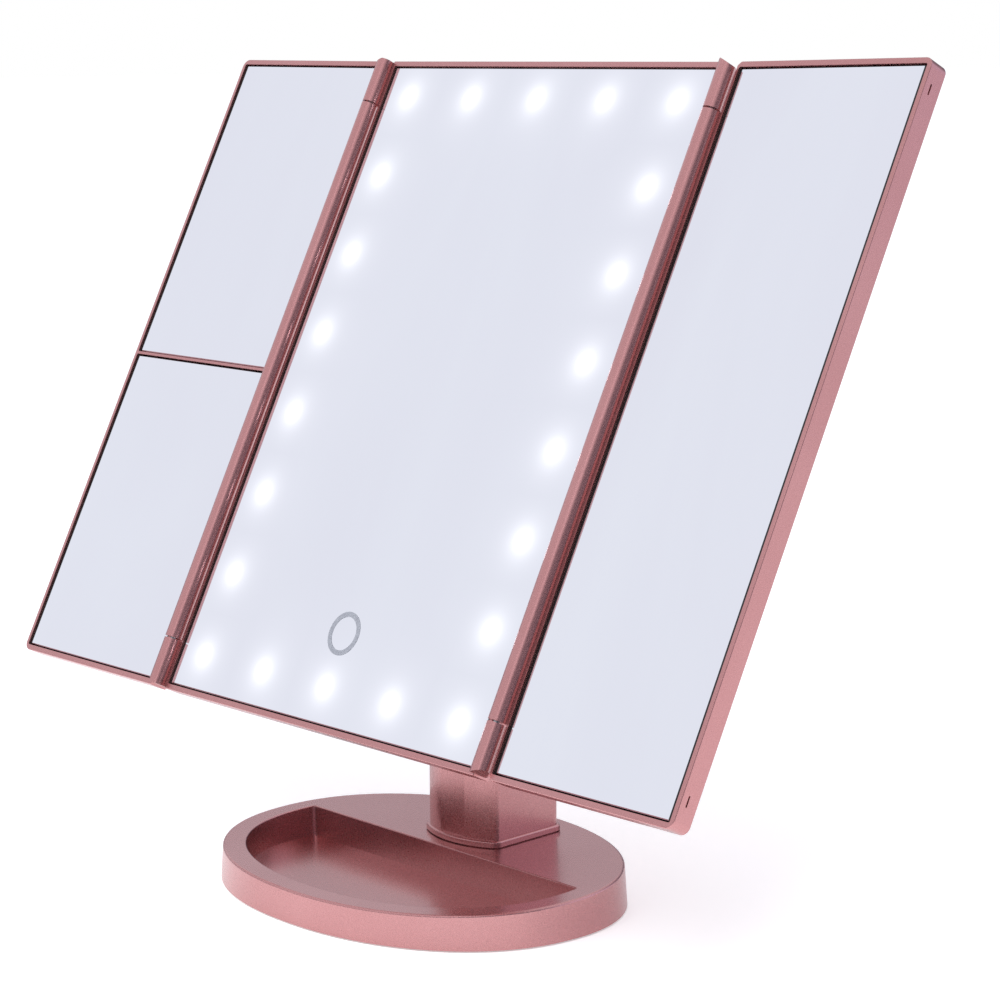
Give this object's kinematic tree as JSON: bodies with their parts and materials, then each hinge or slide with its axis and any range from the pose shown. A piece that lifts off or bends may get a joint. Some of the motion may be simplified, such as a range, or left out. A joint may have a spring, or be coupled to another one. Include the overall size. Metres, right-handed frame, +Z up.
{
  "type": "lighted vanity mirror",
  "caption": "Tri-fold tabletop mirror with a ring of lamps behind the centre glass, folding side wings, a tilting column stand and an oval base with a trinket tray.",
  "frame": {"origin": "centre of the oval base on the table", "axes": "+X to the right of somebody facing the mirror, +Y to the rear, +Z up; the mirrors face -Y"},
  "size_m": [0.3466, 0.1279, 0.2839],
  "materials": {
    "rose_gold_paint": "metallic rose-gold paint on moulded ABS",
    "mirror_silver": "silvered glass",
    "black_foam": "black double-sided foam tape",
    "touch_print": "grey printed ring",
    "white_diffuser": "milky light-diffusing film",
    "led_light": "white surface-mount lamp",
    "circuit_board": "white solder mask",
    "green_board": "green solder mask",
    "steel": "zinc-plated steel",
    "spring_steel": "nickel-plated spring steel",
    "cast_weight": "cast iron, as cast",
    "black_rubber": "matt black rubber",
    "black_plastic": "black moulded plastic",
    "cell_sleeve": "plain printed sleeve",
    "copper_pad": "bare copper film"
  },
  "bodies": {
    "base": {"base_shell": "rose_gold_paint", "base_cover": "rose_gold_paint", "ballast_weight": "cast_weight", "rubber_feet": "black_rubber", "base_screws": "steel", "column_front": "rose_gold_paint", "column_rear": "rose_gold_paint", "column_screws": "steel", "friction_washers": "steel"},
    "head": {"tilt_shaft": "steel", "tilt_nut": "steel", "pivot_caps": "rose_gold_paint", "centre_frame": "rose_gold_paint", "hinge_pins": "steel", "centre_mirror": "mirror_silver", "centre_mirror_tape": "black_foam", "touch_ring": "touch_print", "touch_sensor": "copper_pad", "light_diffuser": "white_diffuser", "led_board": "circuit_board", "led_chips": "led_light", "control_board": "green_board", "usb_socket": "steel", "switch_body": "black_plastic", "back_cover": "rose_gold_paint", "cover_screws": "steel", "battery_cells": "cell_sleeve", "battery_springs": "spring_steel", "battery_contacts": "spring_steel"},
    "switch": {"power_switch": "black_plastic"},
    "door": {"battery_door": "rose_gold_paint"},
    "left_wing": {"left_wing_frame": "rose_gold_paint", "left_wing_back": "rose_gold_paint", "left_upper_mirror": "mirror_silver", "left_lower_mirror": "mirror_silver", "left_mirror_pads": "black_foam"},
    "right_wing": {"right_wing_frame": "rose_gold_paint", "right_wing_back": "rose_gold_paint", "right_mirror": "mirror_silver", "right_mirror_pad": "black_foam"}
  },
  "joints": [
    {"name": "tilt", "type": "hinge", "parent": "base", "child": "head", "pos_m": [0, 0.026, 0.158], "axis": [-1, 0, 0], "range_deg": [-27, 60]},
    {"name": "left_wing_fold", "type": "hinge", "parent": "head", "child": "left_wing", "pos_m": [-0.0867, 0.00575, 0.17413], "axis": [0, 0.4493, 0.8934], "range_deg": [-0.8, 179.2]},
    {"name": "right_wing_fold", "type": "hinge", "parent": "head", "child": "right_wing", "pos_m": [0.0867, 0.00575, 0.17413], "axis": [0, -0.4493, -0.8934], "range_deg": [-2.2, 177.8]},
    {"name": "switch_slide", "type": "slide", "parent": "head", "child": "switch", "axis": [0, 0.4493, 0.8934], "range_m": [-0.004, 0]},
    {"name": "door_lift", "type": "slide", "parent": "head", "child": "door", "axis": [0, 0.8934, -0.4493], "range_m": [0, 0.02]}
  ]
}
